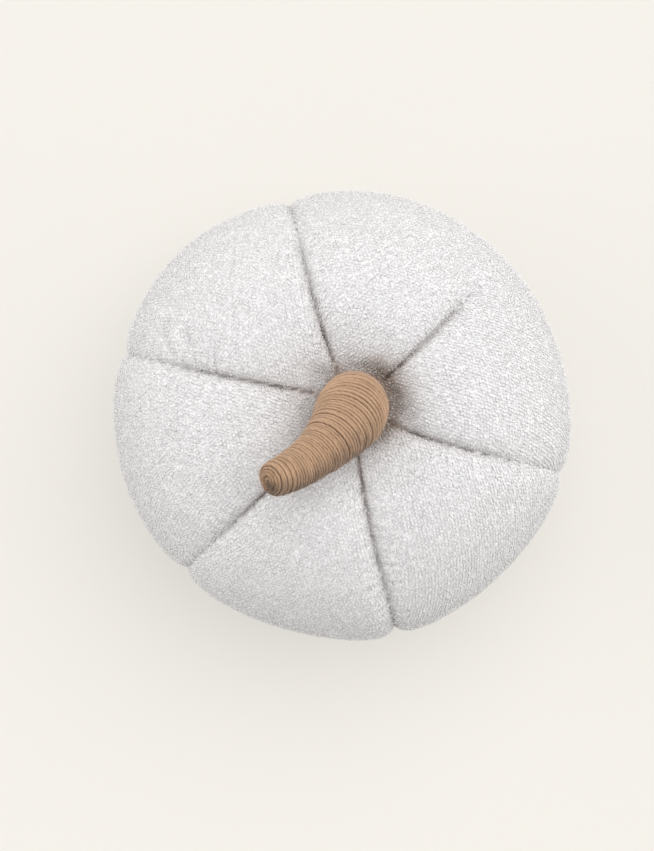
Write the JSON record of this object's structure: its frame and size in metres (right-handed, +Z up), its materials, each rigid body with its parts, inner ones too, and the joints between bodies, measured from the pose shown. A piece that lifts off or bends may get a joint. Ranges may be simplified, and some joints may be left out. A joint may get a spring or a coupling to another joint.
{
  "type": "pumpkin cushion",
  "caption": "Round pumpkin-shaped cushion in off-white boucle, with sewn gores drawn in around a curved stem wound with jute twine.",
  "frame": {"origin": "middle of the cushion's box, on the surface that it rests on", "axes": "+Z up out of the crown, square to the resting face; +X to the right and +Y away, as seen with the stem bending to the left and forwards"},
  "size_m": [0.2894, 0.2834, 0.2354],
  "materials": {
    "boucle": "nubby off-white boucle, matt",
    "jute_twine": "natural jute twine, wound tight, slightly hairy, matt"
  },
  "bodies": {
    "root": {"cushion": "boucle", "stem": "jute_twine"}
  },
  "joints": []
}
